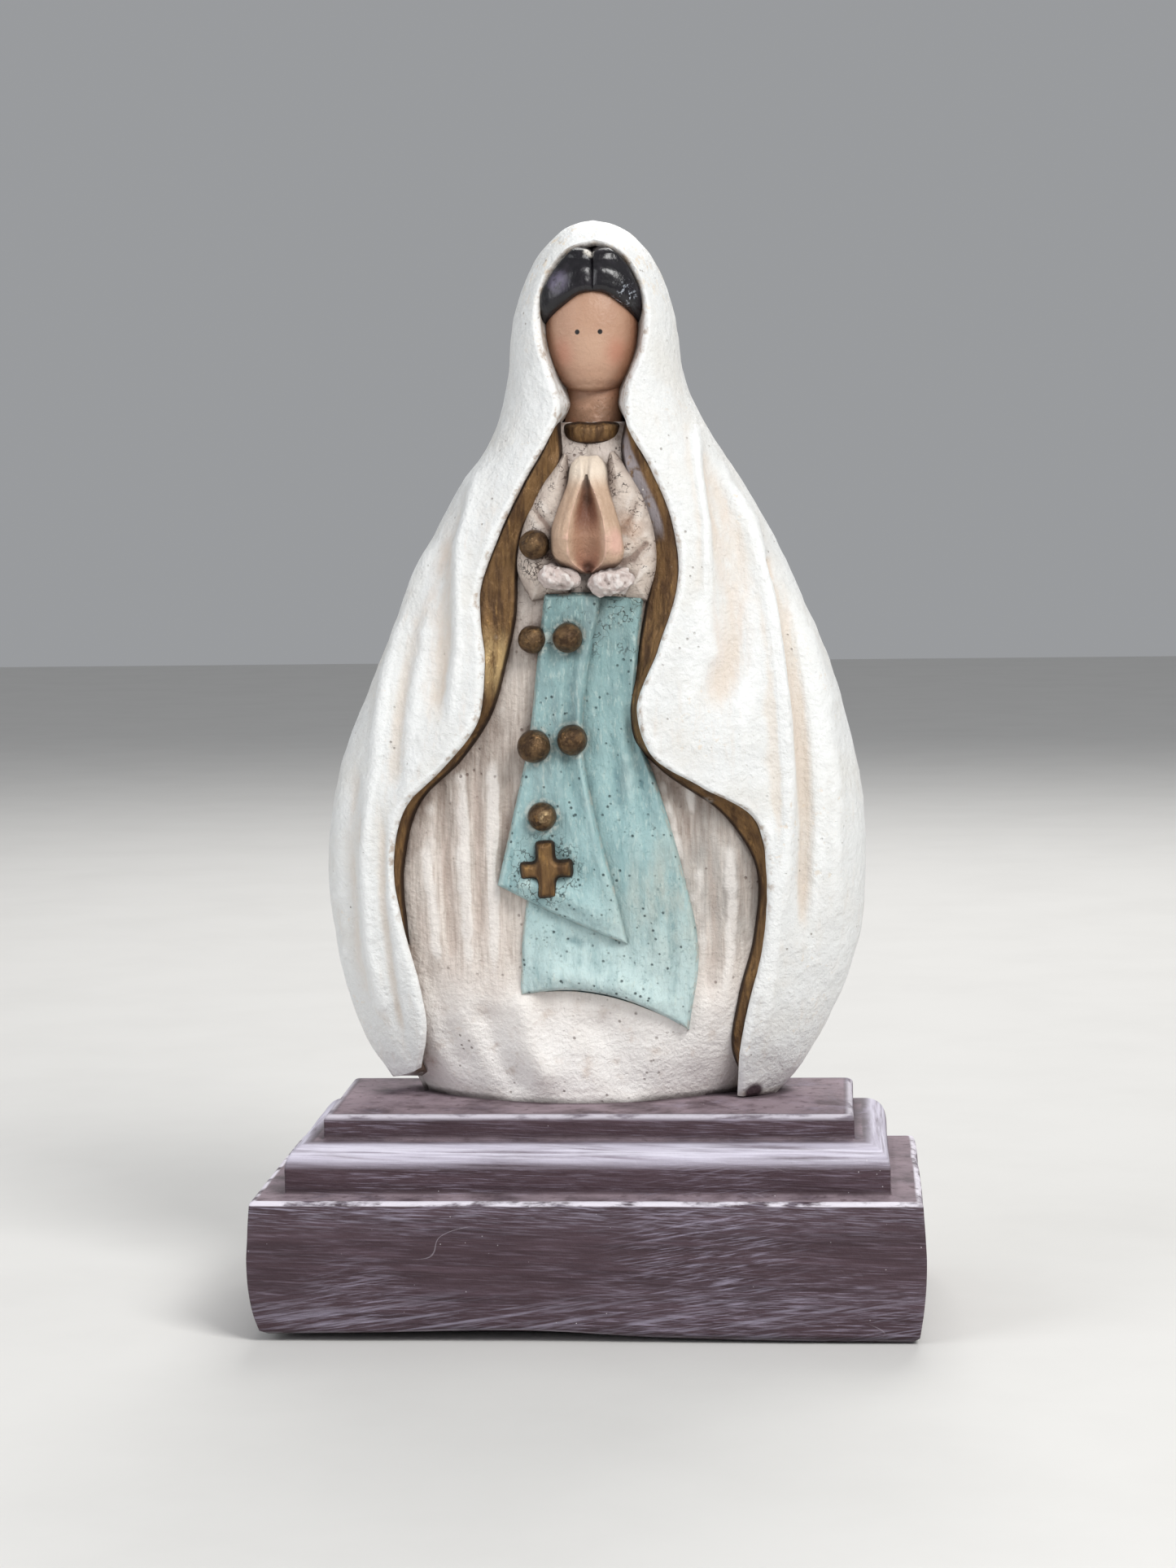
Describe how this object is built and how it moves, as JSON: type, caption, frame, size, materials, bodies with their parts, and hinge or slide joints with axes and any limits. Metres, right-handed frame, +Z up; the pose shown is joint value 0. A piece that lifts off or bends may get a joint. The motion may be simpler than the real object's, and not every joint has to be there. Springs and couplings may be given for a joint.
{
  "type": "madonna figurine",
  "caption": "Standing praying madonna figurine in a hooded cloak with gilded lining, aqua sash and bead rosary, on a stepped rectangular plinth",
  "frame": {"origin": "centre of the object's bounding box in plan, on the plinth's underside, where it rests", "axes": "+Z up the figure, +Y towards the figure's back, +X to the right seen from the front, so the figure faces -Y"},
  "size_m": [0.078, 0.0424, 0.1291],
  "materials": {
    "plinth_paint": "plum brown acrylic over cast stone resin, dry-brushed in white and lilac",
    "mantle_paint": "satin white acrylic over cast stone resin, beige wash in the folds",
    "gown_paint": "cream acrylic over cast stone resin with a brown antique wash",
    "sash_paint": "aqua acrylic over cast stone resin with a darker wash in the pits",
    "skin_paint": "satin peach paint with a brown wash in the hollows",
    "hair_gloss": "gloss black enamel",
    "gilding": "antique gold-brown metallic acrylic, worn on the high spots",
    "dowel_wood": "plain hardwood"
  },
  "bodies": {
    "root": {"plinth": "plinth_paint", "locating_dowel": "dowel_wood", "gown": "gown_paint", "mantle": "mantle_paint", "mantle_lining_left": "gilding", "mantle_lining_right": "gilding", "head": "skin_paint", "hair_left": "hair_gloss", "hair_right": "hair_gloss", "collar": "gilding", "sleeve_left": "gown_paint", "sleeve_right": "gown_paint", "cuff_left": "mantle_paint", "cuff_right": "mantle_paint", "hand_left": "skin_paint", "hand_right": "skin_paint", "sash_lower": "sash_paint", "sash_upper": "sash_paint", "rosary_bead_1": "gilding", "rosary_bead_2": "gilding", "rosary_bead_3": "gilding", "rosary_bead_4": "gilding", "rosary_bead_5": "gilding", "rosary_bead_6": "gilding", "rosary_cross": "gilding"}
  },
  "joints": []
}
